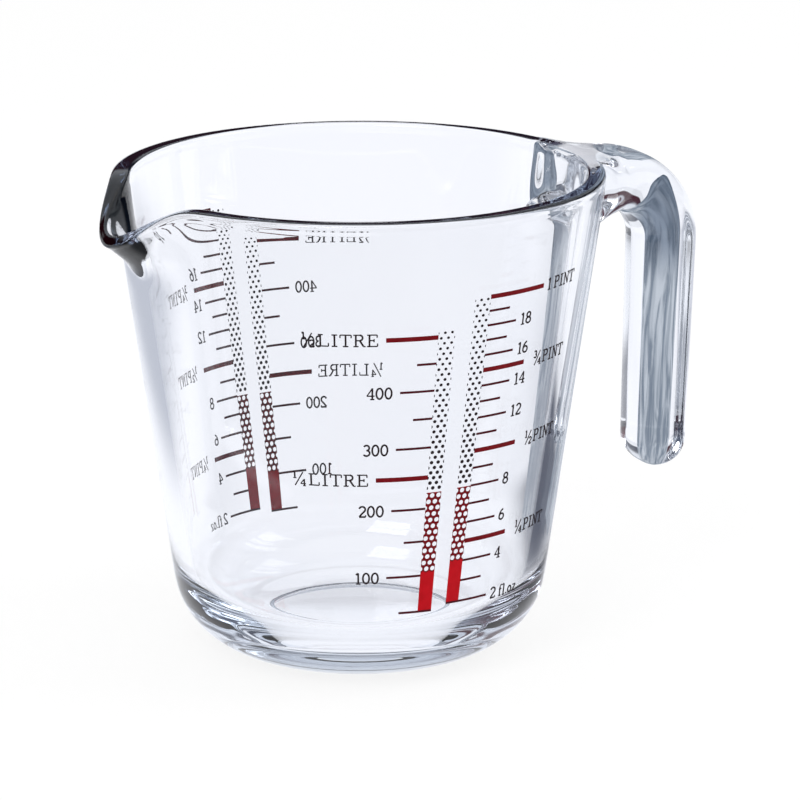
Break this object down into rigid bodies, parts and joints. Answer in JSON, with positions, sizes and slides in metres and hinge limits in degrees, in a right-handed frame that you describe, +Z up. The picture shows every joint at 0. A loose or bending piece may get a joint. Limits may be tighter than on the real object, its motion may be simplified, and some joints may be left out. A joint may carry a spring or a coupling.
{
  "type": "measuring jug",
  "caption": "Clear pressed-glass measuring jug: tapered vessel with rounded rim and pouring spout, open hook handle, and a printed enamel scale in millilitres and fluid ounces.",
  "frame": {"origin": "on the vessel's axis, in the plane that the standing ring rests on", "axes": "+Z up along the vessel's axis, +X towards the handle, -X towards the spout, -Y towards the front scale"},
  "size_m": [0.1542, 0.1182, 0.1165],
  "materials": {
    "clear_glass": "clear, glossy, pressed",
    "red_enamel": "opaque fired enamel, satin",
    "dark_red_enamel": "opaque fired enamel, satin"
  },
  "bodies": {
    "root": {"vessel": "clear_glass", "handle": "clear_glass", "front_metric_column": "red_enamel", "front_metric_marks": "dark_red_enamel", "front_pint_column": "red_enamel", "front_pint_marks": "dark_red_enamel", "back_metric_column": "red_enamel", "back_metric_marks": "dark_red_enamel", "back_pint_column": "red_enamel", "back_pint_marks": "dark_red_enamel"}
  },
  "joints": []
}
